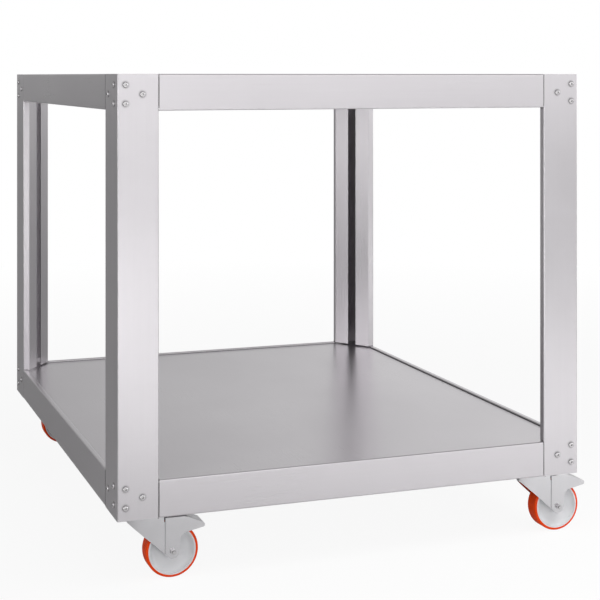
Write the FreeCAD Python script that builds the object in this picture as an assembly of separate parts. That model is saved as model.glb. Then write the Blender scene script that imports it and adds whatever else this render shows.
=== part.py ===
import FreeCAD, Part
import math
import os

V = FreeCAD.Vector

# Mobile oven stand: folded stainless frame, lower shelf, four swivel casters.
# Millimetres. +X is right, +Y is back, +Z is up, seen from the front. The floor is z = 0.

# Overall frame, outside faces of the folded sheet
FRAME_WIDTH = 962.0
FRAME_DEPTH = 1180.0
FRAME_HEIGHT = 820.0

# Sheet that the frame is folded from
SHEET = 1.5
BEND_RADIUS = 1.0

# Corner legs
LEG_FRONT_FLANGE = 78.0
LEG_SIDE_FLANGE = 104.0
LEG_LIP = 15.0
LEG_RETURN = 42.0

# Rails
TOP_RAIL_HEIGHT = 68.0
BOTTOM_RAIL_HEIGHT = 70.0
OVEN_SEAT_WIDTH = 40.0
TOP_RAIL_FOOT = 20.0
BOTTOM_RAIL_FOOT = 14.0
SEAM_GAP = 1.2
TONGUE_CORNER_GAP = 6.0
TONGUE_LAP = 12.0
TONGUE_MARGIN = 5.0

# Shelf and the rebate that it lies in
SHELF_SHEET = 1.5
SHELF_RIM = 12.0
SHELF_DROP = 3.5
SHELF_LEDGE = 18.0
SHELF_GAP = 0.2
STIFFENER_WIDTH = 60.0
STIFFENER_HEIGHT = 25.0
STIFFENER_FLANGE = 18.0
STIFFENER_END_GAP = 2.0

# Foot plates that carry the casters
FOOT_PLATE = 3.0
FOOT_PLATE_LAP = 50.0
FOOT_PLATE_GAP = 0.3

# Frame screws and nuts
SCREW_RADIUS = 3.0
SCREW_HEAD_RADIUS = 5.25
SCREW_HEAD_HEIGHT = 3.2
SCREW_HEAD_RIM = 0.6
SCREW_CROWN_RADIUS = 3.0
SCREW_BULGE = 0.55
SCREW_SOCKET = 4.0
SCREW_SOCKET_DEPTH = 1.8
SCREW_END = 3.0
SCREW_HOLE_CLEARANCE = 0.25
NUT_FLATS = 10.0
NUT_HEIGHT = 5.5
NUT_FLANGE_RADIUS = 6.2
NUT_FLANGE = 1.2
THREAD_CLEARANCE = 0.03
SCREW_FROM_TOP = 20.0
SCREW_FROM_BOTTOM = 24.0
SCREW_ABOVE_TOP_RAIL_EDGE = 13.0
SCREW_BELOW_BOTTOM_RAIL_EDGE = 11.0
SCREW_FRONT_NEAR = 15.0
SCREW_FRONT_FAR = 47.0
SCREW_SIDE_NEAR = 30.0
SCREW_SIDE_FAR = 78.0

# Caster, overall
WHEEL_DIAMETER = 102.0
CASTER_HEADROOM = 28.0
CASTER_TRAIL = 46.0
FRONT_CASTER_INSET_X = 69.0
BACK_CASTER_INSET_X = 60.0
CASTER_INSET_Y = 60.0

# Caster plate and its bolts
PLATE_LENGTH = 104.0
PLATE_WIDTH = 84.0
PLATE_THICKNESS = 3.0
PLATE_CORNER = 8.0
BOLT_SPACING_X = 80.0
BOLT_SPACING_Y = 60.0
BOLT_RADIUS = 4.0
BOLT_HOLE_RADIUS = 4.5
BOLT_FLATS = 13.0
BOLT_HEAD_HEIGHT = 5.3
BOLT_NUT_HEIGHT = 6.5
BOLT_END = 2.0

# Swivel head
HEAD_GAP = 9.0
BALL_RADIUS = 3.0
BALL_COUNT = 16
BALL_CIRCLE_RADIUS = 22.0
BALL_CLEARANCE = 0.05
SEAT_HALF_WIDTH = 5.5
SEAT_SPLIT = 3.0
DUST_SKIRT = 2.1
DUST_GAP = 0.4
KINGPIN_RADIUS = 6.0
KINGPIN_HEAD_RADIUS = 9.0
KINGPIN_NUT_RADIUS = 10.0
KINGPIN_NUT_HEIGHT = 6.5
SWIVEL_CLEARANCE = 0.06
SIDE_PLAY = 0.3

# Fork
FORK_SHEET = 2.5
CROWN = 3.0
NOSE_REACH = 37.5
NOSE_DEPTH = 10.0
NOSE_LENGTH = 36.0
BOSS_RADIUS = 13.0
CROWN_TO_PEDAL = 1.5
FORK_EAR_DROP = 11.0
FORK_EAR_CHAMFER = 5.0

# Wheel
TREAD_WIDTH = 32.0
TREAD_THICKNESS = 5.0
TREAD_ROUNDING = 3.0
HUB_LENGTH = 34.0
HUB_RADIUS = 13.0
HUB_TAPER = 1.5
RIM_EDGE = 2.8
DISH_WIDTH = 11.0
WEB_THICKNESS = 19.0
SLEEVE_RADIUS = 6.0
AXLE_RADIUS = 3.0
AXLE_FLATS = 10.0
AXLE_HEAD_HEIGHT = 4.0
AXLE_NUT_HEIGHT = 6.0
AXLE_END = 2.5
RUNNING_CLEARANCE = 0.05

# Brake pedal and strip of the front casters
PEDAL_SHEET = 2.5
PEDAL_FORWARD = 15.0
PEDAL_REACH = 62.0
PEDAL_EDGE_ROUNDING = 2.2
PEDAL_TOP_DROP = 3.0
PEDAL_TOP_FLAT = 22.0
PEDAL_KNEE_RUN = 7.0
PEDAL_KNEE_DROP = 2.0
PEDAL_TIP_DROP = 15.5
PEDAL_TIP_HEIGHT = 8.0
PEDAL_TIP_CHAMFER = 2.0
PEDAL_CHEEK_BACK = 15.0
PEDAL_CHEEK_OPEN = 33.0
PEDAL_CHEEK_RUN = 7.0
PEDAL_CHEEK_RISE = 8.0
PEDAL_PIN_RADIUS = 3.0
PEDAL_PIN_BACK = 36.0
PEDAL_PIN_RISE = 52.5
STRIP_SHEET = 1.5
STRIP_WIDTH = 24.0
STRIP_ROOT_GAP = 2.5
STRIP_ROOT_LENGTH = 9.5
STRIP_LANDING = 12.0
STRIP_KNEE_BACK = 8.0
STRIP_END_BACK = 51.0
STRIP_LANDING_GAP = 7.5
STRIP_KNEE_GAP = 6.5
STRIP_END_DROP = 6.9

# Heights that follow from the sizes above
CASTER_HEIGHT = WHEEL_DIAMETER + CASTER_HEADROOM
FRAME_BOTTOM = CASTER_HEIGHT - SHEET
FRAME_TOP = FRAME_BOTTOM + FRAME_HEIGHT
BOTTOM_RAIL_TOP = FRAME_BOTTOM + BOTTOM_RAIL_HEIGHT
SHELF_UNDERSIDE = BOTTOM_RAIL_TOP - SHELF_DROP - SHELF_SHEET
WHEEL_RADIUS = WHEEL_DIAMETER / 2.0
CROWN_TOP = CASTER_HEIGHT - PLATE_THICKNESS - HEAD_GAP
CROWN_UNDERSIDE = CROWN_TOP - CROWN
PEDAL_TOP = CROWN_TOP - PEDAL_TOP_DROP
FORK_INNER = HUB_LENGTH / 2.0 + SIDE_PLAY
FORK_OUTER = FORK_INNER + FORK_SHEET
PEDAL_INNER = FORK_OUTER + SIDE_PLAY
PEDAL_OUTER = PEDAL_INNER + PEDAL_SHEET

# The origin is on the floor under the middle of the whole stand, pedals and screw heads included
PEDAL_OVERHANG = max(SCREW_HEAD_HEIGHT, CASTER_TRAIL + PEDAL_REACH - FRONT_CASTER_INSET_X)
LEFT = -(FRAME_WIDTH + PEDAL_OVERHANG + SCREW_HEAD_HEIGHT) / 2.0 + SCREW_HEAD_HEIGHT
RIGHT = LEFT + FRAME_WIDTH
FRONT = -FRAME_DEPTH / 2.0
BACK = FRAME_DEPTH / 2.0
MIDDLE = V((LEFT + RIGHT) / 2.0, 0, 0)

AXIS_X = V(1, 0, 0)
AXIS_Y = V(0, 1, 0)
AXIS_Z = V(0, 0, 1)


def box(low, high):
    """Block between two opposite corners."""
    size = V(*high) - V(*low)
    return Part.makeBox(size.x, size.y, size.z, V(*low))


def rod(radius, start, along):
    """Round bar from a start point, as long as the vector along."""
    return Part.makeCylinder(radius, along.Length, start, along)


def fused(shapes):
    """One solid from shapes that meet face to face."""
    first, rest = shapes[0], shapes[1:]
    return first.fuse(rest).removeSplitter() if rest else first


def polygon_face(points):
    """Flat face through a closed row of points."""
    return Part.Face(Part.makePolygon(list(points) + [points[0]]))


def hexagon(flats, start, along, turn=0.0):
    """Hexagonal bar, measured across its flats."""
    radius = flats / math.sqrt(3.0)
    corners = []
    for index in range(6):
        angle = math.radians(60.0 * index + turn)
        corners.append(V(radius * math.cos(angle), radius * math.sin(angle), 0))
    bar = polygon_face(corners).extrude(V(0, 0, along.Length))
    bar.Placement = FreeCAD.Placement(start, FreeCAD.Rotation(AXIS_Z, along))
    return bar


def direction(start, end):
    """Unit vector from one point to another."""
    return (end - start).normalize()


def left_normal(unit):
    """Unit vector a quarter turn to the left, in the drawing plane."""
    return V(-unit.y, unit.x, 0)


def offset_row(points, distance):
    """Row of points moved sideways by a distance, mitred at its corners."""
    row = []
    for index, point in enumerate(points):
        before = direction(points[index - 1], point) if index > 0 else None
        after = direction(point, points[index + 1]) if index < len(points) - 1 else None
        first = left_normal(before or after)
        second = left_normal(after or before)
        row.append(point + (first + second) * (distance / (1.0 + first.dot(second))))
    return row


def rounded_edges(points, radii, place):
    """Line and arc edges along a row of points, each corner rounded by its radius."""
    edges = []
    start = points[0]
    for index in range(1, len(points) - 1):
        before = direction(points[index - 1], points[index])
        after = direction(points[index], points[index + 1])
        turn = before.getAngle(after)
        reach = radii[index] * math.tan(turn / 2.0)
        begin = points[index] - before * reach
        end = points[index] + after * reach
        inward = (after - before).normalize()
        middle = points[index] + inward * (radii[index] / math.cos(turn / 2.0) - radii[index])
        edges.append(Part.makeLine(place(start), place(begin)))
        edges.append(Part.Arc(place(begin), place(middle), place(end)).toShape())
        start = end
    edges.append(Part.makeLine(place(start), place(points[-1])))
    return edges


def folded_sheet(outline, thickness, side, place, along):
    """Folded sheet: its show face follows the outline, its thickness lies on the given side."""
    points = [V(u, v, 0) for u, v in outline]
    show_radii = [0.0] * len(points)
    back_radii = [0.0] * len(points)
    for index in range(1, len(points) - 1):
        before = direction(points[index - 1], points[index])
        after = direction(points[index], points[index + 1])
        outside = before.cross(after).z * side > 0
        show_radii[index] = BEND_RADIUS + (thickness if outside else 0.0)
        back_radii[index] = BEND_RADIUS + (0.0 if outside else thickness)
    back = offset_row(points, side * thickness)
    edges = rounded_edges(points, show_radii, place)
    edges.append(Part.makeLine(place(points[-1]), place(back[-1])))
    edges += rounded_edges(back[::-1], back_radii[::-1], place)
    edges.append(Part.makeLine(place(back[0]), place(points[0])))
    return Part.Face(Part.Wire(Part.__sortEdges__(edges))).extrude(along)


def mirrored_x(shape):
    """Copy of a left piece for the right side."""
    return shape.mirror(MIDDLE, AXIS_X)


def mirrored_y(shape):
    """Copy of a front piece for the back."""
    return shape.mirror(MIDDLE, AXIS_Y)


def screw_heights():
    """Heights of the screws at a corner, as pairs of near heights and the far height between."""
    top_rail_edge = FRAME_TOP - TOP_RAIL_HEIGHT
    pairs = [(FRAME_TOP - SCREW_FROM_TOP, top_rail_edge + SCREW_ABOVE_TOP_RAIL_EDGE),
             (FRAME_BOTTOM + SCREW_FROM_BOTTOM, BOTTOM_RAIL_TOP - SCREW_BELOW_BOTTOM_RAIL_EDGE)]
    return [(pair, (pair[0] + pair[1]) / 2.0) for pair in pairs]


def front_screw_points():
    """Points on the front face of the front left leg where screws go in."""
    points = []
    for near_heights, far_height in screw_heights():
        points += [V(LEFT + SCREW_FRONT_NEAR, FRONT, height) for height in near_heights]
        points.append(V(LEFT + SCREW_FRONT_FAR, FRONT, far_height))
    return points


def side_screw_points():
    """Points on the left face of the front left leg where screws go in."""
    points = []
    for near_heights, far_height in screw_heights():
        points += [V(LEFT, FRONT + SCREW_SIDE_NEAR, height) for height in near_heights]
        points.append(V(LEFT, FRONT + SCREW_SIDE_FAR, far_height))
    return points


def screw_holes():
    """Drills for the front left corner, through the leg and the tongues."""
    radius = SCREW_RADIUS + SCREW_HOLE_CLEARANCE
    depth = 4.0 * SHEET
    drills = [rod(radius, point - AXIS_Y * SHEET, AXIS_Y * depth) for point in front_screw_points()]
    drills += [rod(radius, point - AXIS_X * SHEET, AXIS_X * depth) for point in side_screw_points()]
    return Part.makeCompound(drills)


def corner_holes():
    """Screw holes of all four corners."""
    front_left = screw_holes()
    front = [front_left, mirrored_x(front_left)]
    return Part.makeCompound(front + [mirrored_y(holes) for holes in front])


def leg():
    """Front left leg: two flanges full height, lips and returns between the rails."""
    front_edge = V(LEG_FRONT_FLANGE, LEG_LIP, 0)
    side_edge = V(LEG_LIP, LEG_SIDE_FLANGE, 0)
    slant = direction(front_edge, side_edge)
    first = front_edge + slant * LEG_RETURN
    last = side_edge - slant * LEG_RETURN
    outline = [(first.x, first.y), (LEG_FRONT_FLANGE, LEG_LIP), (LEG_FRONT_FLANGE, 0), (0, 0),
               (0, LEG_SIDE_FLANGE), (LEG_LIP, LEG_SIDE_FLANGE), (last.x, last.y)]

    def place(point):
        return V(LEFT + point.x, FRONT + point.y, FRAME_BOTTOM)

    post = folded_sheet(outline, SHEET, -1, place, V(0, 0, FRAME_HEIGHT))
    beyond = max(LEG_FRONT_FLANGE, LEG_SIDE_FLANGE) + SHEET
    inside = (LEFT + SHEET, FRONT + SHEET)
    outside = (LEFT + beyond, FRONT + beyond)
    for low, high in ((FRAME_BOTTOM, BOTTOM_RAIL_TOP), (FRAME_TOP - TOP_RAIL_HEIGHT, FRAME_TOP)):
        post = post.cut(box(inside + (low,), outside + (high,)))
    return post.cut(screw_holes())


def rail(outline, bottom, height, front_rail):
    """Front or left rail: a folded channel with a flat tongue behind each leg."""
    if front_rail:
        start = LEFT + LEG_FRONT_FLANGE + SEAM_GAP
        end = RIGHT - LEG_FRONT_FLANGE - SEAM_GAP
        tongue_ends = (LEFT + TONGUE_CORNER_GAP, RIGHT - TONGUE_CORNER_GAP)
        along = V(end - start, 0, 0)

        def place(point):
            return V(start, FRONT + point.x, bottom + point.y)

        def tongue(low, high):
            return box((low, FRONT + SHEET, bottom + TONGUE_MARGIN),
                       (high, FRONT + 2 * SHEET, bottom + height - TONGUE_MARGIN))
    else:
        start = FRONT + LEG_SIDE_FLANGE + SEAM_GAP
        end = BACK - LEG_SIDE_FLANGE - SEAM_GAP
        tongue_ends = (FRONT + TONGUE_CORNER_GAP, BACK - TONGUE_CORNER_GAP)
        along = V(0, end - start, 0)

        def place(point):
            return V(LEFT + point.x, start, bottom + point.y)

        def tongue(low, high):
            return box((LEFT + SHEET, low, bottom + TONGUE_MARGIN),
                       (LEFT + 2 * SHEET, high, bottom + height - TONGUE_MARGIN))

    channel = folded_sheet(outline, SHEET, -1, place, along)
    tongues = [tongue(tongue_ends[0], start + TONGUE_LAP), tongue(end - TONGUE_LAP, tongue_ends[1])]
    return fused([channel] + tongues).cut(corner_holes())


def top_rail(front_rail):
    """Channel whose upper flange carries the oven."""
    outline = [(TOP_RAIL_FOOT, 0), (0, 0), (0, TOP_RAIL_HEIGHT), (OVEN_SEAT_WIDTH, TOP_RAIL_HEIGHT)]
    return rail(outline, FRAME_TOP - TOP_RAIL_HEIGHT, TOP_RAIL_HEIGHT, front_rail)


def bottom_rail(front_rail):
    """Channel whose upper edge is stepped to make the shelf's rebate."""
    ledge = BOTTOM_RAIL_HEIGHT - SHELF_DROP - SHELF_SHEET
    outline = [(BOTTOM_RAIL_FOOT, 0), (0, 0), (0, BOTTOM_RAIL_HEIGHT), (SHELF_RIM, BOTTOM_RAIL_HEIGHT),
               (SHELF_RIM, ledge), (SHELF_RIM + SHELF_LEDGE, ledge)]
    return rail(outline, FRAME_BOTTOM, BOTTOM_RAIL_HEIGHT, front_rail)


def shelf_panel():
    """Flat panel lying on the ledges, its top just below the rails."""
    inset = SHELF_RIM + BEND_RADIUS + SHELF_GAP
    return box((LEFT + inset, FRONT + inset, SHELF_UNDERSIDE),
               (RIGHT - inset, BACK - inset, SHELF_UNDERSIDE + SHELF_SHEET))


def shelf_stiffeners():
    """Two hat sections under the shelf, at a third and two thirds of its depth."""
    start = LEFT + SHELF_RIM + SHELF_LEDGE + STIFFENER_END_GAP
    end = RIGHT - SHELF_RIM - SHELF_LEDGE - STIFFENER_END_GAP
    half = STIFFENER_WIDTH / 2.0
    outline = [(-half, 0), (-half + STIFFENER_FLANGE, 0), (-half + STIFFENER_FLANGE, -STIFFENER_HEIGHT),
               (half - STIFFENER_FLANGE, -STIFFENER_HEIGHT), (half - STIFFENER_FLANGE, 0), (half, 0)]
    hats = []
    for share in (1.0 / 3.0, 2.0 / 3.0):
        middle = FRONT + FRAME_DEPTH * share

        def place(point, middle=middle):
            return V(start, middle + point.x, SHELF_UNDERSIDE + point.y)

        hats.append(folded_sheet(outline, SHEET, -1, place, V(end - start, 0, 0)))
    return Part.makeCompound(hats)


def caster_points():
    """Swivel axis of each caster, on the floor."""
    points = {}
    for end, y, inset in (("front", FRONT + CASTER_INSET_Y, FRONT_CASTER_INSET_X),
                          ("back", BACK - CASTER_INSET_Y, BACK_CASTER_INSET_X)):
        points[end + "_left"] = V(LEFT + inset, y, 0)
        points[end + "_right"] = V(RIGHT - inset, y, 0)
    return points


def bolt_points(height):
    """Bolt positions of one caster about its swivel axis."""
    return [V(sx * BOLT_SPACING_X / 2.0, sy * BOLT_SPACING_Y / 2.0, height)
            for sx in (-1, 1) for sy in (-1, 1)]


def foot_plates():
    """Plates inside the corners, lying on the feet of the bottom rails."""
    inset = 2.0 * SHEET + FOOT_PLATE_GAP
    reach_x = LEG_FRONT_FLANGE + SEAM_GAP + FOOT_PLATE_LAP
    reach_y = LEG_SIDE_FLANGE + SEAM_GAP + FOOT_PLATE_LAP
    blank = box((LEFT + inset, FRONT + inset, CASTER_HEIGHT),
                (LEFT + reach_x, FRONT + reach_y, CASTER_HEIGHT + FOOT_PLATE))
    plates = []
    for plate, corner in ((blank, "front_left"), (mirrored_y(blank), "back_left")):
        swivel = caster_points()[corner]
        for point in bolt_points(CASTER_HEIGHT):
            plate = plate.cut(rod(BOLT_HOLE_RADIUS, swivel + point, AXIS_Z * FOOT_PLATE))
        plates += [plate, mirrored_x(plate)]
    return Part.makeCompound(plates)


def button_screw(point, outward):
    """Button-head socket screw with its head outside the leg."""
    rim = V(SCREW_HEAD_RADIUS, 0, SCREW_HEAD_RIM)
    crown = V(SCREW_CROWN_RADIUS, 0, SCREW_HEAD_HEIGHT)
    bulge = (rim + crown) / 2.0 + V(SCREW_BULGE, 0, SCREW_BULGE)
    side = Part.Arc(rim, bulge, crown).toShape()
    lines = Part.makePolygon([crown, V(0, 0, SCREW_HEAD_HEIGHT), V(0, 0, 0),
                              V(SCREW_HEAD_RADIUS, 0, 0), rim])
    head = Part.Face(Part.Wire(Part.__sortEdges__([side] + lines.Edges))).revolve(V(0, 0, 0), AXIS_Z, 360)
    socket_floor = V(0, 0, SCREW_HEAD_HEIGHT - SCREW_SOCKET_DEPTH)
    head = head.cut(hexagon(SCREW_SOCKET, socket_floor, AXIS_Z * SCREW_HEAD_HEIGHT))
    length = 2.0 * SHEET + NUT_HEIGHT + SCREW_END
    screw = fused([head, rod(SCREW_RADIUS, V(0, 0, -length), AXIS_Z * length)])
    screw.Placement = FreeCAD.Placement(point, FreeCAD.Rotation(AXIS_Z, outward))
    return screw


def flange_nut(point, inward):
    """Flange nut against the back of a tongue."""
    body = hexagon(NUT_FLATS, V(0, 0, 0), AXIS_Z * NUT_HEIGHT)
    flange = rod(NUT_FLANGE_RADIUS, V(0, 0, 0), AXIS_Z * NUT_FLANGE)
    bore = rod(SCREW_RADIUS + THREAD_CLEARANCE, V(0, 0, -1), AXIS_Z * (NUT_HEIGHT + 2))
    nut = fused([body, flange]).cut(bore)
    nut.Placement = FreeCAD.Placement(point + inward * 2.0 * SHEET, FreeCAD.Rotation(AXIS_Z, inward))
    return nut


def at_all_corners(shapes):
    """Front left pieces repeated at the other three corners."""
    front = shapes + [mirrored_x(shape) for shape in shapes]
    return Part.makeCompound(front + [mirrored_y(shape) for shape in front])


def frame_screws():
    """All screws of the frame."""
    screws = [button_screw(point, -AXIS_Y) for point in front_screw_points()]
    screws += [button_screw(point, -AXIS_X) for point in side_screw_points()]
    return at_all_corners(screws)


def frame_nuts():
    """All nuts of the frame."""
    nuts = [flange_nut(point, AXIS_Y) for point in front_screw_points()]
    nuts += [flange_nut(point, AXIS_X) for point in side_screw_points()]
    return at_all_corners(nuts)


def caster_bolts():
    """Bolts from below through the caster plates and foot plates."""
    underside = CASTER_HEIGHT - PLATE_THICKNESS
    length = PLATE_THICKNESS + FOOT_PLATE + BOLT_NUT_HEIGHT + BOLT_END
    bolts = []
    for swivel in caster_points().values():
        for point in bolt_points(underside):
            head = hexagon(BOLT_FLATS, swivel + point - AXIS_Z * BOLT_HEAD_HEIGHT, AXIS_Z * BOLT_HEAD_HEIGHT)
            bolts.append(fused([head, rod(BOLT_RADIUS, swivel + point, AXIS_Z * length)]))
    return Part.makeCompound(bolts)


def caster_nuts():
    """Nuts above the foot plates."""
    nuts = []
    for swivel in caster_points().values():
        for point in bolt_points(CASTER_HEIGHT + FOOT_PLATE):
            nut = hexagon(BOLT_FLATS, swivel + point, AXIS_Z * BOLT_NUT_HEIGHT)
            bore = rod(BOLT_RADIUS + THREAD_CLEARANCE, swivel + point, AXIS_Z * BOLT_NUT_HEIGHT)
            nuts.append(nut.cut(bore))
    return Part.makeCompound(nuts)


def ring(inner, outer, low, high):
    """Ring about the swivel axis."""
    start, along = V(0, 0, low), AXIS_Z * (high - low)
    return rod(outer, start, along).cut(rod(inner, start, along))


def ball_height():
    """Height of the ball centres, midway between plate and crown."""
    return CROWN_TOP + HEAD_GAP / 2.0


def ball_groove():
    """Round groove that the balls run in."""
    return Part.makeTorus(BALL_CIRCLE_RADIUS, BALL_RADIUS + BALL_CLEARANCE, V(0, 0, ball_height()), AXIS_Z)


def caster_plate():
    """Top plate with bolt holes, the upper ball seat and a dust skirt."""
    low = CASTER_HEIGHT - PLATE_THICKNESS
    half_x, half_y = PLATE_LENGTH / 2.0, PLATE_WIDTH / 2.0
    plate = box((-half_x, -half_y, low), (half_x, half_y, CASTER_HEIGHT))
    upright = [edge for edge in plate.Edges if abs(edge.tangentAt(edge.FirstParameter).z) > 0.9]
    plate = plate.makeFillet(PLATE_CORNER, upright)
    outer = BALL_CIRCLE_RADIUS + SEAT_HALF_WIDTH
    seat = ring(BALL_CIRCLE_RADIUS - SEAT_HALF_WIDTH, outer, ball_height() + SEAT_SPLIT / 2.0, low)
    skirt = ring(outer + DUST_GAP, outer + DUST_GAP + DUST_SKIRT, ball_height() - SEAT_SPLIT, low)
    plate = fused([plate, seat, skirt]).cut(ball_groove())
    cone = Part.makeCone(KINGPIN_RADIUS, KINGPIN_HEAD_RADIUS, PLATE_THICKNESS, V(0, 0, low), AXIS_Z)
    plate = plate.cut(cone)
    for point in bolt_points(low):
        plate = plate.cut(rod(BOLT_HOLE_RADIUS, point, AXIS_Z * PLATE_THICKNESS))
    return plate


def kingpin():
    """Countersunk pin held in the plate, with a collar under the crown."""
    low = CASTER_HEIGHT - PLATE_THICKNESS
    head = Part.makeCone(KINGPIN_RADIUS, KINGPIN_HEAD_RADIUS, PLATE_THICKNESS, V(0, 0, low), AXIS_Z)
    collar_top = CROWN_UNDERSIDE - SIDE_PLAY
    collar_low = collar_top - KINGPIN_NUT_HEIGHT
    shank = rod(KINGPIN_RADIUS, V(0, 0, collar_top), AXIS_Z * (low - collar_top))
    collar = rod(KINGPIN_NUT_RADIUS, V(0, 0, collar_low), AXIS_Z * KINGPIN_NUT_HEIGHT)
    return fused([head, shank, collar])


def swivel_balls():
    """Ring of balls between plate and crown."""
    balls = []
    for index in range(BALL_COUNT):
        angle = 2.0 * math.pi * index / BALL_COUNT
        centre = V(BALL_CIRCLE_RADIUS * math.cos(angle), BALL_CIRCLE_RADIUS * math.sin(angle), ball_height())
        balls.append(Part.makeSphere(BALL_RADIUS, centre))
    return Part.makeCompound(balls)


def side_place(point):
    """Point of a side view, on the caster's middle plane."""
    return V(point.x, 0, point.y)


def boss_tangent(start):
    """Lower point where a line from start touches the axle boss."""
    centre = V(CASTER_TRAIL, WHEEL_RADIUS, 0)
    gap = centre - start
    slope = math.atan2(gap.y, gap.x) - math.asin(BOSS_RADIUS / gap.Length)
    return centre + V(math.sin(slope), -math.cos(slope), 0) * BOSS_RADIUS


def side_slab(edges, half_width):
    """Side view outline made as wide as twice the half width."""
    face = Part.Face(Part.Wire(Part.__sortEdges__(edges)))
    slab = face.extrude(AXIS_Y * 2.0 * half_width)
    slab.translate(-AXIS_Y * half_width)
    return slab


def boss_outline(start, corners):
    """Side outline that wraps under the axle boss and goes on through the corners."""
    touch = boss_tangent(start)
    bottom = V(CASTER_TRAIL, WHEEL_RADIUS - BOSS_RADIUS, 0)
    rear = V(CASTER_TRAIL + BOSS_RADIUS, WHEEL_RADIUS, 0)
    edges = [Part.makeLine(side_place(start), side_place(touch)),
             Part.Arc(side_place(touch), side_place(bottom), side_place(rear)).toShape()]
    row = [rear] + corners + [start]
    for first, second in zip(row, row[1:]):
        edges.append(Part.makeLine(side_place(first), side_place(second)))
    return edges


def nose_start():
    """Lower front end of the fork's slanting edge."""
    return V(-NOSE_REACH, CROWN_TOP - NOSE_DEPTH, 0)


def nose_plan(half_width, length, rear, high):
    """Upright body from the floor with a half-oval front, as wide as twice the half width."""
    centre = V(NOSE_LENGTH - NOSE_REACH, 0, 0)
    oval = Part.Ellipse(centre, length, half_width)
    front = Part.ArcOfEllipse(oval, math.pi / 2.0, 1.5 * math.pi).toShape()
    sides = Part.makePolygon([V(centre.x, -half_width, 0), V(rear, -half_width, 0),
                              V(rear, half_width, 0), V(centre.x, half_width, 0)])
    return Part.Face(Part.Wire(Part.__sortEdges__([front] + sides.Edges))).extrude(AXIS_Z * high)


def pedal_front():
    """Front edge of the brake pedal's cheeks."""
    return CASTER_TRAIL - PEDAL_FORWARD


def axle_hole(reach):
    """Drill for the axle bolt, from one side of the middle plane to the other."""
    start = V(CASTER_TRAIL, -reach, WHEEL_RADIUS)
    return rod(AXLE_RADIUS + RUNNING_CLEARANCE, start, AXIS_Y * 2.0 * reach)


def fork():
    """Pressed fork: crown, rounded nose and two sides that hold the axle."""
    crown_rear = pedal_front() - CROWN_TO_PEDAL
    rear = CASTER_TRAIL + BOSS_RADIUS
    ear_top = CROWN_TOP - FORK_EAR_DROP
    shell = nose_plan(FORK_OUTER, NOSE_LENGTH, rear, CROWN_TOP)
    shell = shell.cut(nose_plan(FORK_INNER, NOSE_LENGTH - FORK_SHEET, rear + 1, CROWN_UNDERSIDE))
    corners = [V(rear, ear_top - FORK_EAR_CHAMFER, 0), V(rear - FORK_EAR_CHAMFER, ear_top, 0),
               V(crown_rear, ear_top, 0), V(crown_rear, CROWN_TOP, 0), V(-NOSE_REACH, CROWN_TOP, 0)]
    shell = shell.common(side_slab(boss_outline(nose_start(), corners), FORK_OUTER))
    outer = BALL_CIRCLE_RADIUS + SEAT_HALF_WIDTH
    seat = ring(BALL_CIRCLE_RADIUS - SEAT_HALF_WIDTH, outer, CROWN_TOP, ball_height() - SEAT_SPLIT / 2.0)
    flange = rod(outer, V(0, 0, CROWN_UNDERSIDE), AXIS_Z * CROWN)
    ahead = box((-outer, -outer, CROWN_UNDERSIDE), (crown_rear, outer, ball_height()))
    body = fused([shell, flange.common(ahead), seat.common(ahead)]).cut(ball_groove())
    pin_hole = rod(KINGPIN_RADIUS + SWIVEL_CLEARANCE, V(0, 0, CROWN_UNDERSIDE), AXIS_Z * CROWN)
    return body.cut(pin_hole).cut(axle_hole(FORK_OUTER + 1.0))


def wheel_point(radius, across):
    """Point of the wheel's section, at a radius and a distance from its middle plane."""
    return V(CASTER_TRAIL + radius, across, WHEEL_RADIUS)


def revolved(edges):
    """Wheel part from the closed edges of its section."""
    face = Part.Face(Part.Wire(Part.__sortEdges__(edges)))
    return face.revolve(V(CASTER_TRAIL, 0, WHEEL_RADIUS), AXIS_Y, 360)


def dish_points():
    """Section points of the wheel's dished side, from the web through the curve to the rim edge."""
    edge = WHEEL_RADIUS - TREAD_THICKNESS - RIM_EDGE
    foot = edge - DISH_WIDTH
    web = WEB_THICKNESS / 2.0
    depth = TREAD_WIDTH / 2.0 - web
    bend = (DISH_WIDTH ** 2 + depth ** 2) / (2.0 * depth)
    half_turn = math.asin(DISH_WIDTH / bend) / 2.0
    middle = (foot + bend * math.sin(half_turn), web + bend * (1.0 - math.cos(half_turn)))
    return [(foot, web), middle, (edge, web + depth)]


def wheel_centre():
    """Moulded wheel centre: hub, web, and dished sides that end in a flat rim edge."""
    rim = WHEEL_RADIUS - TREAD_THICKNESS
    bore = SLEEVE_RADIUS + RUNNING_CLEARANCE
    half, web, hub = TREAD_WIDTH / 2.0, WEB_THICKNESS / 2.0, HUB_LENGTH / 2.0
    dish = dish_points()
    edges = [Part.makeLine(wheel_point(bore, hub), wheel_point(bore, -hub)),
             Part.makeLine(wheel_point(rim, half), wheel_point(rim, -half))]
    for side in (-1.0, 1.0):
        row = [(bore, hub), (HUB_RADIUS, hub), (HUB_RADIUS + HUB_TAPER, web), dish[0]]
        inner = Part.makePolygon([wheel_point(radius, side * across) for radius, across in row])
        outer = Part.makeLine(wheel_point(dish[2][0], side * half), wheel_point(rim, side * half))
        curve = Part.Arc(*[wheel_point(radius, side * across) for radius, across in dish])
        edges += inner.Edges + [outer, curve.toShape()]
    return revolved(edges)


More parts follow.
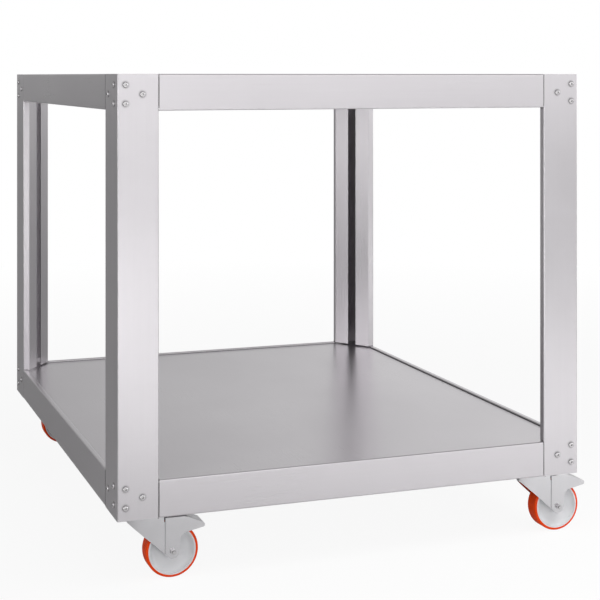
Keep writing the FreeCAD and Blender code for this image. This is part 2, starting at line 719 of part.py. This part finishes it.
def tyre():
    """Bonded tread with rounded shoulders."""
    rim = WHEEL_RADIUS - TREAD_THICKNESS
    half = TREAD_WIDTH / 2.0
    row = [(rim, half), (WHEEL_RADIUS, half), (WHEEL_RADIUS, -half), (rim, -half), (rim, half)]
    band = revolved(Part.makePolygon([wheel_point(radius, across) for radius, across in row]).Edges)
    shoulders = [edge for edge in band.Edges
                 if hasattr(edge.Curve, "Radius") and abs(edge.Curve.Radius - WHEEL_RADIUS) < 1e-6]
    return band.makeFillet(TREAD_ROUNDING, shoulders)


def axle_sleeve():
    """Sleeve clamped between the fork's sides, on which the hub turns."""
    start = V(CASTER_TRAIL, -FORK_INNER, WHEEL_RADIUS)
    along = AXIS_Y * 2.0 * FORK_INNER
    return rod(SLEEVE_RADIUS, start, along).cut(rod(AXLE_RADIUS + RUNNING_CLEARANCE, start, along))


def axle_face(braked):
    """Distance from the middle plane to the seat of the bolt head and of the nut."""
    return (PEDAL_OUTER if braked else FORK_OUTER - SIDE_PLAY) + SIDE_PLAY


def axle_bolt(braked):
    """Hexagon bolt from behind through fork, sleeve and, on a braked caster, the pedal."""
    seat = axle_face(braked)
    start = V(CASTER_TRAIL, seat, WHEEL_RADIUS)
    head = hexagon(AXLE_FLATS, start, AXIS_Y * AXLE_HEAD_HEIGHT, 30.0)
    shank = rod(AXLE_RADIUS, start, -AXIS_Y * (2.0 * seat + AXLE_NUT_HEIGHT + AXLE_END))
    return fused([head, shank])


def axle_nut(braked):
    """Lock nut at the front end of the axle bolt."""
    start = V(CASTER_TRAIL, -axle_face(braked), WHEEL_RADIUS)
    along = -AXIS_Y * AXLE_NUT_HEIGHT
    return hexagon(AXLE_FLATS, start, along, 30.0).cut(rod(AXLE_RADIUS + THREAD_CLEARANCE, start, along))


def pedal_top_row():
    """Side view of the pedal's end and top, from the lower edge of the end to the front."""
    tip = CASTER_TRAIL + PEDAL_REACH
    flat = CASTER_TRAIL + PEDAL_TOP_FLAT
    tip_top = PEDAL_TOP - PEDAL_TIP_DROP
    tip_low = tip_top - PEDAL_TIP_HEIGHT
    return [V(tip, tip_low + PEDAL_TIP_CHAMFER, 0), V(tip, tip_top - PEDAL_TIP_CHAMFER, 0),
            V(tip - PEDAL_TIP_CHAMFER, tip_top, 0),
            V(flat + PEDAL_KNEE_RUN, PEDAL_TOP - PEDAL_KNEE_DROP, 0),
            V(flat, PEDAL_TOP, 0), V(pedal_front(), PEDAL_TOP, 0)]


def pedal_hollow():
    """Space inside the pedal, open at the front and below."""
    top_row = pedal_top_row()
    ahead = pedal_front() - 1.0
    outer = [V(top_row[0].x, 0, 0)] + top_row[1:-1] + [V(ahead, PEDAL_TOP, 0)]
    inner = offset_row(outer, PEDAL_SHEET) + [V(ahead, 0, 0)]
    space = polygon_face([side_place(point) for point in inner]).extrude(AXIS_Y * 2.0 * PEDAL_INNER)
    space.translate(-AXIS_Y * PEDAL_INNER)
    return space


def brake_pedal():
    """Pressed pedal that turns on the axle bolt, with a cross pin over the strip."""
    front = pedal_front()
    slant = boss_tangent(nose_start()) - nose_start()
    start = V(front, nose_start().y + slant.y / slant.x * (front + NOSE_REACH), 0)
    top_row = pedal_top_row()
    cheek = CASTER_TRAIL + PEDAL_CHEEK_BACK
    opening = WHEEL_RADIUS + PEDAL_CHEEK_OPEN
    tip_low = top_row[0] - V(PEDAL_TIP_CHAMFER, PEDAL_TIP_CHAMFER, 0)
    corners = [V(cheek, opening - PEDAL_CHEEK_RISE, 0), V(cheek + PEDAL_CHEEK_RUN, opening, 0), tip_low]
    body = side_slab(boss_outline(start, corners + top_row), PEDAL_OUTER)
    upright = [edge for edge in body.Edges if edge.BoundBox.ZLength > 1.0
               and all(abs(vertex.X - front) < 1e-6 for vertex in edge.Vertexes)]
    body = body.makeFillet(PEDAL_EDGE_ROUNDING, upright).cut(pedal_hollow())
    pin_start = V(CASTER_TRAIL + PEDAL_PIN_BACK, -PEDAL_INNER, WHEEL_RADIUS + PEDAL_PIN_RISE)
    pin = rod(PEDAL_PIN_RADIUS, pin_start, AXIS_Y * 2.0 * PEDAL_INNER)
    return fused([body, pin]).cut(axle_hole(PEDAL_OUTER + 1.0))


def brake_strip():
    """Spring strip under the crown, whose tail lies over the tread."""
    root = KINGPIN_NUT_RADIUS + STRIP_ROOT_GAP
    top = CROWN_UNDERSIDE - SIDE_PLAY
    outline = [(root, top), (root + STRIP_ROOT_LENGTH, top),
               (CASTER_TRAIL - STRIP_LANDING, WHEEL_DIAMETER + STRIP_LANDING_GAP),
               (CASTER_TRAIL + STRIP_KNEE_BACK, WHEEL_DIAMETER + STRIP_KNEE_GAP),
               (CASTER_TRAIL + STRIP_END_BACK, WHEEL_DIAMETER - STRIP_END_DROP)]

    def place(point):
        return V(point.x, -STRIP_WIDTH / 2.0, point.y)

    return folded_sheet(outline, STRIP_SHEET, -1, place, AXIS_Y * STRIP_WIDTH)


def caster_parts(braked):
    """All pieces of one caster about its own swivel axis."""
    parts = {"caster_plate": caster_plate(), "kingpin": kingpin(), "swivel_balls": swivel_balls(),
             "fork": fork(), "axle_sleeve": axle_sleeve(), "axle_bolt": axle_bolt(braked),
             "axle_nut": axle_nut(braked), "wheel_centre": wheel_centre(), "tyre": tyre()}
    if braked:
        parts["brake_pedal"] = brake_pedal()
        parts["brake_strip"] = brake_strip()
    return parts


def stand_parts():
    """Every node of the stand by name."""
    front_left_leg = leg()
    front_right_leg = mirrored_x(front_left_leg)
    parts = {"leg_front_left": front_left_leg, "leg_front_right": front_right_leg,
             "leg_back_left": mirrored_y(front_left_leg), "leg_back_right": mirrored_y(front_right_leg)}
    for level, make in (("top", top_rail), ("bottom", bottom_rail)):
        front, left = make(True), make(False)
        parts[level + "_rail_front"] = front
        parts[level + "_rail_back"] = mirrored_y(front)
        parts[level + "_rail_left"] = left
        parts[level + "_rail_right"] = mirrored_x(left)
    parts["shelf_panel"] = shelf_panel()
    parts["shelf_stiffeners"] = shelf_stiffeners()
    parts["foot_plates"] = foot_plates()
    parts["frame_screws"] = frame_screws()
    parts["frame_nuts"] = frame_nuts()
    parts["caster_bolts"] = caster_bolts()
    parts["caster_nuts"] = caster_nuts()
    for corner, swivel in caster_points().items():
        for name, shape in caster_parts(corner.startswith("front")).items():
            placed = shape.copy()
            placed.translate(swivel)
            parts[name + "_" + corner] = placed
    return parts


os.makedirs("parts", exist_ok=True)
for node, solid in stand_parts().items():
    solid.exportStep(os.path.join("parts", node + ".step"))
    verdict = "valid" if solid.isValid() else "INVALID"
    print(node, len(solid.Solids), "solids", round(solid.Volume), "mm3", verdict)
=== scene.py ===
"""Looks of a mobile oven stand: brushed stainless frame, shelf and casters, in studio light."""

import logging
import math
from dataclasses import dataclass
from enum import Enum
from functools import cache
from typing import Any, Union

import bmesh
import bpy
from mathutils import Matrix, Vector

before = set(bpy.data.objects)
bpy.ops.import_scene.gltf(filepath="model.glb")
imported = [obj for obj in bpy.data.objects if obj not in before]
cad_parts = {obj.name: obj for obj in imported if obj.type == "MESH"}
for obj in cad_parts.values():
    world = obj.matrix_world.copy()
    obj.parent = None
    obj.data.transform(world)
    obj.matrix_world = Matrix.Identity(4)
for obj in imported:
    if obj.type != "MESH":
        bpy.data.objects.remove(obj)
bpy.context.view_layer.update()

log = logging.getLogger("oven_stand")

Colour = tuple[float, float, float]
Number = Union[float, "Value"]

CORNERS = ("front_left", "front_right", "back_left", "back_right")
NOISE_MIDDLE = 0.5
METAL = {"Metallic": 1.0}
WHITE = (1.0, 1.0, 1.0, 1.0)


class Value:
    """A number, vector or colour in a node tree, on which arithmetic adds Math nodes."""

    def __init__(self, bench: "NodeBench", socket: bpy.types.NodeSocket | None) -> None:
        """Wrap a node's output.

        Args:
            bench: The tree that the output belongs to.
            socket: The output itself, or None for a node that has no output.
        """
        self.bench = bench
        self.socket = socket

    def _math(self, operation: str, first: Number, second: Number) -> "Value":
        """Add a Math node.

        Args:
            operation: The Math node's operation.
            first: Its first number.
            second: Its second number.

        Returns:
            The node's result.
        """
        return self.bench.node("ShaderNodeMath", {"operation": operation}, {0: first, 1: second})

    def __add__(self, other: Number) -> "Value":
        """Return the sum."""
        return self._math("ADD", self, other)

    def __radd__(self, other: Number) -> "Value":
        """Return the sum, with the number first."""
        return self._math("ADD", other, self)

    def __sub__(self, other: Number) -> "Value":
        """Return the difference."""
        return self._math("SUBTRACT", self, other)

    def __rsub__(self, other: Number) -> "Value":
        """Return the difference, with the number first."""
        return self._math("SUBTRACT", other, self)

    def __mul__(self, other: Number) -> "Value":
        """Return the product."""
        return self._math("MULTIPLY", self, other)

    def __rmul__(self, other: Number) -> "Value":
        """Return the product, with the number first."""
        return self._math("MULTIPLY", other, self)

    def __pow__(self, other: Number) -> "Value":
        """Return the power."""
        return self._math("POWER", self, other)

    def at_least(self, floor: Number) -> "Value":
        """Return the larger of this and another number."""
        return self._math("MAXIMUM", self, floor)

    def at_most(self, ceiling: Number) -> "Value":
        """Return the smaller of this and another number."""
        return self._math("MINIMUM", self, ceiling)

    def swing(self, amount: float) -> "Value":
        """Return how far a noise is from its middle, times an amount."""
        return (self - NOISE_MIDDLE) * amount


class NodeBench:
    """One node tree, to which nodes are added."""

    def __init__(self, tree: bpy.types.NodeTree) -> None:
        """Empty the tree.

        Args:
            tree: Tree of a material or a world.
        """
        self.tree = tree
        tree.nodes.clear()

    def node(self, kind: str, settings: dict[str, Any] | None = None,
             sockets: dict[Union[str, int], Any] | None = None, output: Union[str, int] = 0) -> Value:
        """Add one node.

        Args:
            kind: The node's type.
            settings: Its properties, set first.
            sockets: Values or links of its inputs, by name or place.
            output: The output that is wanted, by name or place.

        Returns:
            That output.
        """
        made = self.tree.nodes.new(kind)
        for name, setting in (settings or {}).items():
            setattr(made, name, setting)
        for name, given in (sockets or {}).items():
            if isinstance(given, Value):
                self.tree.links.new(given.socket, made.inputs[name])
            else:
                made.inputs[name].default_value = given
        return Value(self, made.outputs[output] if len(made.outputs) else None)

    def place(self) -> Value:
        """Return the point on the surface, in metres."""
        return self.node("ShaderNodeTexCoord", output="Object")

    def stretched(self, point: Value, scale: tuple[float, float, float]) -> Value:
        """Return a point scaled along x, y and z."""
        return self.node("ShaderNodeVectorMath", {"operation": "MULTIPLY"}, {0: point, 1: scale})

    def blend(self, share: Number, first: Union[Colour, Value], second: Union[Colour, Value]) -> Value:
        """Mix two colours.

        Args:
            share: How much of the second.
            first: Colour at a share of 0.
            second: Colour at a share of 1.

        Returns:
            The mixed colour.
        """
        def socket(colour: Union[Colour, Value]) -> Any:
            """Return a colour as a socket takes it."""
            return colour if isinstance(colour, Value) else (*colour, 1.0)

        return self.node("ShaderNodeMix", {"data_type": "RGBA"},
                         {0: share, 6: socket(first), 7: socket(second)}, 2)

    def surface(self, colour: Value, roughness: Value, normal: Value, constants: dict[str, Any]) -> Value:
        """Add the shader of a solid surface.

        Args:
            colour: Its colour.
            roughness: Its roughness.
            normal: Its normal.
            constants: Inputs that are the same all over, by name.

        Returns:
            The shader.
        """
        return self.node("ShaderNodeBsdfPrincipled", None,
                         {"Base Color": colour, "Roughness": roughness, "Normal": normal, **constants})


@dataclass(frozen=True)
class Pattern:
    """A noise over the surface; its scale is how many ripples go in a metre."""

    scale: float
    detail: float = 2.0
    roughness: float = 0.5

    def read(self, bench: NodeBench, point: Value) -> Value:
        """Read the noise.

        Args:
            bench: The material's tree.
            point: Where it is read.

        Returns:
            A number about a half.
        """
        return bench.node("ShaderNodeTexNoise", None,
                          {"Vector": point, "Scale": self.scale, "Detail": self.detail,
                           "Roughness": self.roughness}, "Fac")


@dataclass(frozen=True)
class Relief:
    """Depth of a finish's marks in metres, and the share of it that shows."""

    strength: float
    depth: float

    def normal(self, bench: NodeBench, height: Value) -> Value:
        """Turn a height into a normal.

        Args:
            bench: The material's tree.
            height: Height of the surface, from 0 to 1.

        Returns:
            The normal.
        """
        return bench.node("ShaderNodeBump", None,
                          {"Strength": self.strength, "Distance": self.depth, "Height": height})


@dataclass(frozen=True)
class PaintedSeamShade:
    """Painted shade: a dark line painted where surfaces meet closely, where shade falls. Its reach is in
    metres.
    """

    colour: Colour
    reach: float
    sharpness: float
    samples: int = 8

    def over(self, bench: NodeBench, face: Value) -> Value:
        """Paint shade into a colour in seams and corners.

        Args:
            bench: The material's tree.
            face: Colour of the open faces.

        Returns:
            That colour, going over to the painted shade colour where another surface is within reach.
        """
        # painted shade: ambient occlusion darkens the colour near other surfaces
        openness = bench.node("ShaderNodeAmbientOcclusion", {"samples": self.samples},
                              {"Distance": self.reach}, "AO")
        return bench.blend(openness ** self.sharpness, self.colour, face)


class Finish:
    """A finish that pieces are dressed with."""

    name: str

    def shader(self, bench: NodeBench) -> Value:
        """Build the finish's shader.

        Args:
            bench: The material's tree.

        Returns:
            The shader.
        """
        raise NotImplementedError


class Grain(Enum):
    """Which way the brushed lines of a sheet run."""

    ACROSS = (1, 0, 0)
    DEEP = (0, 1, 0)
    UPRIGHT = (0, 0, 1)


@dataclass(frozen=True)
class BrushedStainless(Finish):
    """Stainless sheet with a fine brushed grain, handled but clean."""

    grain: Grain
    bright: Colour = (0.662, 0.640, 0.662)
    dull: Colour = (0.605, 0.583, 0.606)
    edge_tint: tuple[float, float, float, float] = (0.91, 0.91, 0.91, 1.0)
    # painted shade colour, reach and sharpness for the sheet's seams, inner corners and around screw heads
    painted_seam_shade: PaintedSeamShade = PaintedSeamShade((0.100, 0.097, 0.102), 0.004, 2.0)
    roughness: float = 0.30
    gloss_swing: float = 0.10
    line_length: float = 5.0
    fine_lines: float = 1400.0
    broad_lines: float = 260.0
    line: Pattern = Pattern(1.0, 3.0, 0.6)
    smudge: Pattern = Pattern(3.5, 3.0)
    fine_tone: float = 0.45
    broad_tone: float = 0.35
    smudge_tone: float = 0.20
    fine_relief: float = 0.6
    broad_relief: float = 0.4
    relief: Relief = Relief(0.25, 0.00004)

    @property
    def name(self) -> str:
        """Return the material's name."""
        return "brushed_stainless_" + self.grain.name.lower()

    def lines(self, bench: NodeBench, point: Value, across: float) -> Value:
        """Read lines that run along the grain.

        Args:
            bench: The material's tree.
            point: Point on the sheet.
            across: How many lines go in a metre across the grain.

        Returns:
            A number about a half.
        """
        scale = tuple(self.line_length if along else across for along in self.grain.value)
        return self.line.read(bench, bench.stretched(point, scale))

    def shader(self, bench: NodeBench) -> Value:
        """Build the brushed steel.

        Args:
            bench: The material's tree.

        Returns:
            The shader.
        """
        point = bench.place()
        fine = self.lines(bench, point, self.fine_lines)
        broad = self.lines(bench, point, self.broad_lines)
        smudge = self.smudge.read(bench, point)
        tone = fine * self.fine_tone + broad * self.broad_tone + smudge * self.smudge_tone
        # painted shade darkens the brushed colour in seams and corners
        colour = self.painted_seam_shade.over(bench, bench.blend(tone, self.dull, self.bright))
        roughness = fine.swing(self.gloss_swing) + smudge.swing(self.gloss_swing) + self.roughness
        normal = self.relief.normal(bench, fine * self.fine_relief + broad * self.broad_relief)
        return bench.surface(colour, roughness, normal, METAL | {"Specular Tint": self.edge_tint})


@dataclass(frozen=True)
class MillStainless(Finish):
    """Plain stainless sheet as it comes from the mill, dull and a little mottled."""

    name: str = "mill_stainless"
    bright: Colour = (0.560, 0.548, 0.560)
    dull: Colour = (0.470, 0.462, 0.475)
    roughness: float = 0.42
    gloss_swing: float = 0.20
    mottle: Pattern = Pattern(45.0, 4.0, 0.6)
    pits: Pattern = Pattern(900.0)
    relief: Relief = Relief(0.30, 0.00005)

    def shader(self, bench: NodeBench) -> Value:
        """Build the mill finish.

        Args:
            bench: The material's tree.

        Returns:
            The shader.
        """
        point = bench.place()
        mottle = self.mottle.read(bench, point)
        colour = bench.blend(mottle, self.dull, self.bright)
        roughness = mottle.swing(self.gloss_swing) + self.roughness
        normal = self.relief.normal(bench, self.pits.read(bench, point))
        return bench.surface(colour, roughness, normal, METAL)


@dataclass(frozen=True)
class BrightFastener(Finish):
    """Turned and tumbled steel of screws, bolts and nuts."""

    name: str = "bright_fastener"
    bright: Colour = (0.720, 0.705, 0.715)
    dull: Colour = (0.560, 0.548, 0.560)
    # painted shade colour, reach and sharpness where fastener heads meet other parts
    painted_seam_shade: PaintedSeamShade = PaintedSeamShade((0.080, 0.078, 0.082), 0.0015, 1.5)
    roughness: float = 0.22
    gloss_swing: float = 0.18
    tumble: Pattern = Pattern(600.0, 3.0, 0.6)
    grime: Pattern = Pattern(60.0)
    tumble_tone: float = 0.6
    grime_tone: float = 0.4
    relief: Relief = Relief(0.25, 0.00006)

    def shader(self, bench: NodeBench) -> Value:
        """Build the bright steel.

        Args:
            bench: The material's tree.

        Returns:
            The shader.
        """
        point = bench.place()
        tumble = self.tumble.read(bench, point)
        grime = self.grime.read(bench, point)
        tone = tumble * self.tumble_tone + grime * self.grime_tone
        # painted shade darkens the fastener colour near other surfaces
        colour = self.painted_seam_shade.over(bench, bench.blend(tone, self.dull, self.bright))
        roughness = tumble.swing(self.gloss_swing) + self.roughness
        normal = self.relief.normal(bench, tumble)
        return bench.surface(colour, roughness, normal, METAL)


@dataclass(frozen=True)
class ZincPlated(Finish):
    """Pressed steel with a satin zinc plate."""

    name: str = "zinc_plated"
    bright: Colour = (0.760, 0.750, 0.770)
    dull: Colour = (0.660, 0.655, 0.675)
    roughness: float = 0.14
    cloud_gloss: float = 0.16
    skin_gloss: float = 0.08
    cloud: Pattern = Pattern(30.0, 4.0, 0.55)
    skin: Pattern = Pattern(1500.0)
    cloud_relief: float = 0.5
    skin_relief: float = 0.5
    relief: Relief = Relief(0.25, 0.00006)

    def shader(self, bench: NodeBench) -> Value:
        """Build the plated steel.

        Args:
            bench: The material's tree.

        Returns:
            The shader.
        """
        point = bench.place()
        cloud = self.cloud.read(bench, point)
        skin = self.skin.read(bench, point)
        colour = bench.blend(cloud, self.dull, self.bright)
        roughness = cloud.swing(self.cloud_gloss) + skin.swing(self.skin_gloss) + self.roughness
        normal = self.relief.normal(bench, skin * self.skin_relief + cloud * self.cloud_relief)
        return bench.surface(colour, roughness, normal, METAL)


@dataclass(frozen=True)
class MouldedNylon(Finish):
    """Pale grey nylon with flow marks and a soft sheen."""

    name: str = "moulded_nylon"
    bright: Colour = (0.665, 0.668, 0.686)
    dull: Colour = (0.578, 0.583, 0.600)
    ior: float = 1.53
    roughness: float = 0.40
    flow_gloss: float = 0.20
    grain_gloss: float = 0.10
    flow: Pattern = Pattern(28.0, 3.0)
    grain: Pattern = Pattern(1800.0)
    flow_relief: float = 0.3
    grain_relief: float = 0.7
    relief: Relief = Relief(0.20, 0.00006)

    def shader(self, bench: NodeBench) -> Value:
        """Build the nylon.

        Args:
            bench: The material's tree.

        Returns:
            The shader.
        """
        point = bench.place()
        flow = self.flow.read(bench, point)
        grain = self.grain.read(bench, point)
        colour = bench.blend(flow, self.dull, self.bright)
        roughness = flow.swing(self.flow_gloss) + grain.swing(self.grain_gloss) + self.roughness
        normal = self.relief.normal(bench, grain * self.grain_relief + flow * self.flow_relief)
        return bench.surface(colour, roughness, normal, {"IOR": self.ior})


@dataclass(frozen=True)
class CastTread(Finish):
    """Orange cast polyurethane with a few specks of dust."""

    name: str = "cast_tread"
    bright: Colour = (0.800, 0.062, 0.003)
    dull: Colour = (0.640, 0.044, 0.002)
    dust: Colour = (0.480, 0.200, 0.110)
    ior: float = 1.50
    specular_level: float = 0.12
    roughness: float = 0.46
    cloud_gloss: float = 0.20
    dust_gloss: float = 0.40
    cloud: Pattern = Pattern(40.0, 3.0)
    grit: Pattern = Pattern(700.0, 4.0, 0.7)
    dust_from: float = 0.64
    dust_gain: float = 5.0
    dust_most: float = 0.25
    cloud_relief: float = 0.5
    grit_relief: float = 0.5
    relief: Relief = Relief(0.20, 0.00012)

    def shader(self, bench: NodeBench) -> Value:
        """Build the polyurethane.

        Args:
            bench: The material's tree.

        Returns:
            The shader.
        """
        point = bench.place()
        cloud = self.cloud.read(bench, point)
        grit = self.grit.read(bench, point)
        speck = ((grit - self.dust_from) * self.dust_gain).at_least(0.0).at_most(self.dust_most)
        colour = bench.blend(speck, bench.blend(cloud, self.dull, self.bright), self.dust)
        roughness = cloud.swing(self.cloud_gloss) + speck * self.dust_gloss + self.roughness
        normal = self.relief.normal(bench, grit * self.grit_relief + cloud * self.cloud_relief)
        return bench.surface(colour, roughness, normal,
                             {"IOR": self.ior, "Specular IOR Level": self.specular_level})


@cache
def material_of(finish: Finish) -> bpy.types.Material:
    """Make the material of a finish, once for all the pieces that have it.

    Args:
        finish: The finish.

    Returns:
        Its material.
    """
    made = bpy.data.materials.new(finish.name)
    made.use_nodes = True
    bench = NodeBench(made.node_tree)
    bench.node("ShaderNodeOutputMaterial", None, {"Surface": finish.shader(bench)})
    return made


def dress(node: str, finish: Finish) -> None:
    """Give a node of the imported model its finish.

    Args:
        node: The node's name.
        finish: Its finish.
    """
    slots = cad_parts[node].data.materials
    slots.clear()
    slots.append(material_of(finish))
    log.info("%s: %s", node, finish.name)


@dataclass
class SheetFrame:
    """Four folded legs and eight folded rails."""

    levels: tuple[str, ...] = ("top", "bottom")

    def build(self) -> None:
        """Dress the legs with upright grain and the rails with grain along them."""
        for corner in CORNERS:
            dress("leg_" + corner, BrushedStainless(Grain.UPRIGHT))
        for level in self.levels:
            for side in ("front", "back"):
                dress(f"{level}_rail_{side}", BrushedStainless(Grain.ACROSS))
            for side in ("left", "right"):
                dress(f"{level}_rail_{side}", BrushedStainless(Grain.DEEP))


@dataclass
class Shelf:
    """Shelf panel with its stiffeners, and the plates over the casters."""

    hidden_nodes: tuple[str, ...] = ("shelf_stiffeners", "foot_plates")

    def build(self) -> None:
        """Dress the panel and what lies under it."""
        dress("shelf_panel", BrushedStainless(Grain.DEEP))
        for node in self.hidden_nodes:
            dress(node, MillStainless())


@dataclass
class Fasteners:
    """Screws, bolts and nuts of the frame and the caster plates."""

    nodes: tuple[str, ...] = ("frame_screws", "frame_nuts", "caster_bolts", "caster_nuts")

    def build(self) -> None:
        """Dress every fastener."""
        for node in self.nodes:
            dress(node, BrightFastener())


@dataclass
class Caster:
    """One swivel caster."""

    corner: str
    plated: tuple[str, ...] = ("caster_plate", "kingpin", "swivel_balls", "fork", "axle_sleeve")
    brake: tuple[str, ...] = ("brake_pedal", "brake_strip")
    bright: tuple[str, ...] = ("axle_bolt", "axle_nut")

    def build(self) -> None:
        """Dress the caster's metal, wheel and tread."""
        plated = self.plated + (self.brake if self.corner.startswith("front") else ())
        for node in plated:
            dress(f"{node}_{self.corner}", ZincPlated())
        for node in self.bright:
            dress(f"{node}_{self.corner}", BrightFastener())
        dress("wheel_centre_" + self.corner, MouldedNylon())
        dress("tyre_" + self.corner, CastTread())


@dataclass(frozen=True)
class SoftBox:
    """A soft patch of light far away in the studio; tightness says how fast it fades around."""

    azimuth: float
    strength: float
    elevation: float = 5.0
    tightness: float = 12.0

    def direction(self) -> tuple[float, float, float]:
        """Return the unit vector towards the patch; azimuth 0 is +Y and 90 is +X."""
        around, up = math.radians(self.azimuth), math.radians(self.elevation)
        return (math.sin(around) * math.cos(up), math.cos(around) * math.cos(up), math.sin(up))


@dataclass(frozen=True)
class Lamp:
    """A square soft lamp that hangs over the floor and shines straight down."""

    place: tuple[float, float, float]
    watts: float
    side: float = 1.6
    spread: float = 100.0

    def build(self) -> None:
        """Hang the lamp, which metal doesn't mirror."""
        light = bpy.data.lights.new("studio_lamp", "AREA")
        light.shape = "SQUARE"
        light.size = self.side
        light.energy = self.watts
        light.spread = math.radians(self.spread)
        hung = bpy.data.objects.new("studio_lamp", light)
        hung.location = self.place
        hung.visible_glossy = False
        bpy.context.scene.collection.objects.link(hung)


@dataclass
class Studio:
    """Pale floor, white backdrop, soft patches of light around and soft lamps over the floor."""

    ambient: float = 0.06
    boxes: tuple[SoftBox, ...] = (
        SoftBox(-165.0, 1.10),
        SoftBox(-105.0, 1.10),
        SoftBox(-75.0, 0.90),
        SoftBox(-15.0, 0.36),
        SoftBox(45.0, 0.46),
        SoftBox(75.0, 0.59),
        SoftBox(105.0, 1.10),
        SoftBox(135.0, 1.28),
        SoftBox(165.0, 1.20),
        SoftBox(180.0, 0.50, elevation=42.0, tightness=8.0),
        SoftBox(-110.0, 5.0, elevation=0.0, tightness=40.0),
        SoftBox(100.0, 3.0, elevation=0.0, tightness=40.0),
    )
    backdrop: tuple[SoftBox, ...] = (
        SoftBox(30.0, 0.80, tightness=8.0),
        SoftBox(0.0, 0.50, elevation=90.0, tightness=2.5),
    )
    lamps: tuple[Lamp, ...] = (
        Lamp((0.0, -1.9, 2.6), 11.5),
        Lamp((1.6, -1.9, 2.6), 28.0),
        Lamp((-1.0, -4.5, 2.6), 107.0),
    )
    floor_half: float = 60.0
    floor_white_near: float = 0.92
    floor_white_far: float = 1.0
    floor_near: float = 1.0
    floor_far: float = 4.0
    floor_mirrored_share: float = 0.05
    floor_colour: Colour = (0.795, 0.795, 0.795)

    @staticmethod
    def patch_light(direction: Value, patch: SoftBox) -> Value:
        """Read how bright a soft patch is in a direction.

        Args:
            direction: Where the ray goes.
            patch: The patch.

        Returns:
            Its brightness.
        """
        facing = direction.bench.node("ShaderNodeVectorMath", {"operation": "DOT_PRODUCT"},
                                      {0: direction, 1: patch.direction()}, "Value")
        return facing.at_least(0.0) ** patch.tightness * patch.strength

    @staticmethod
    def mirrored_ray(bench: NodeBench) -> Value:
        """Tell rays that metal or glass sends on from the rest.

        Args:
            bench: The tree of a world or a material.

        Returns:
            1 for such a ray, else 0.
        """
        glossy = bench.node("ShaderNodeLightPath", output="Is Glossy Ray")
        through = bench.node("ShaderNodeLightPath", output="Is Transmission Ray")
        return (glossy + through).at_most(1.0)

    def sky(self) -> None:
        """Light the world: white to the camera, soft patches to the rest, the backdrop to mirrored rays."""
        world = bpy.data.worlds.new("studio")
        world.use_nodes = True
        bench = NodeBench(world.node_tree)
        direction = bench.node("ShaderNodeTexCoord", output="Generated")
        light: Number = self.ambient
        for patch in self.boxes:
            light = light + self.patch_light(direction, patch)
        mirrored = self.mirrored_ray(bench)
        for patch in self.backdrop:
            light = light + mirrored * self.patch_light(direction, patch)
        seen = bench.node("ShaderNodeLightPath", output="Is Camera Ray")
        strength = seen + (1.0 - seen) * light
        background = bench.node("ShaderNodeBackground", None, {"Color": WHITE, "Strength": strength})
        bench.node("ShaderNodeOutputWorld", None, {"Surface": background})
        bpy.context.scene.world = world

    def floor_material(self) -> bpy.types.Material:
        """Paint the floor white to the camera and pale grey to the light, so that its shadow stays.

        Returns:
            The floor's material.
        """
        material = bpy.data.materials.new("studio_floor")
        material.use_nodes = True
        bench = NodeBench(material.node_tree)
        camera_ray = bench.node("ShaderNodeLightPath", output="Is Camera Ray")
        distance = bench.node("ShaderNodeVectorMath", {"operation": "LENGTH"}, {0: bench.place()}, "Value")
        white = bench.node("ShaderNodeMapRange", None,
                           {"Value": distance, "From Min": self.floor_near, "From Max": self.floor_far,
                            "To Min": self.floor_white_near, "To Max": self.floor_white_far})
        share = camera_ray * white + self.mirrored_ray(bench) * self.floor_mirrored_share
        paint = bench.node("ShaderNodeBsdfDiffuse", None, {"Color": (*self.floor_colour, 1.0)})
        glow = bench.node("ShaderNodeEmission", None, {"Color": WHITE, "Strength": 1.0})
        mixed = bench.node("ShaderNodeMixShader", None, {0: share, 1: paint, 2: glow})
        bench.node("ShaderNodeOutputMaterial", None, {"Surface": mixed})
        return material

    def floor(self) -> None:
        """Lay the floor."""
        mesh = bpy.data.meshes.new("studio_floor")
        sheet = bmesh.new()
        half = self.floor_half
        corners = [sheet.verts.new((x, y, 0.0)) for x, y in
                   ((-half, -half), (half, -half), (half, half), (-half, half))]
        sheet.faces.new(corners)
        sheet.to_mesh(mesh)
        sheet.free()
        mesh.materials.append(self.floor_material())
        ground = bpy.data.objects.new("studio_floor", mesh)
        bpy.context.scene.collection.objects.link(ground)

    def build(self) -> None:
        """Set up sky, floor and lamps."""
        self.sky()
        self.floor()
        for lamp in self.lamps:
            lamp.build()
        log.info("studio: %d soft patches and %d lamps", len(self.boxes), len(self.lamps))


@dataclass
class Camera:
    """Level camera with a vertical shift, as in the photograph; its turn is in degrees to the right."""

    frame_pixels: float = 600.0
    focal_pixels: float = 1431.0
    horizon_pixel: float = 75.8
    turn: float = 19.97
    place: tuple[float, float, float] = (-1.0784, -3.1620, 0.9449)
    sensor: float = 36.0
    sight: float = 200.0

    def build(self) -> None:
        """Place the camera and make it the scene's own."""
        data = bpy.data.cameras.new("camera")
        data.sensor_width = self.sensor
        data.lens = self.focal_pixels / self.frame_pixels * self.sensor
        data.shift_y = (self.horizon_pixel - self.frame_pixels / 2.0) / self.frame_pixels
        data.clip_end = self.sight
        camera = bpy.data.objects.new("camera", data)
        camera.location = self.place
        camera.rotation_euler = (math.radians(90.0), 0.0, math.radians(-self.turn))
        bpy.context.scene.collection.objects.link(camera)
        bpy.context.scene.camera = camera
        log.info("camera: %.1f mm lens", data.lens)


def main() -> None:
    """Frame the view, dress the stand, then light it."""
    logging.basicConfig(level=logging.INFO, format="%(name)s: %(message)s")
    Camera().build()
    SheetFrame().build()
    Shelf().build()
    Fasteners().build()
    for corner in CORNERS:
        Caster(corner).build()
    Studio().build()
    bpy.context.scene.view_settings.view_transform = "Standard"


if __name__ == "__main__":
    main()
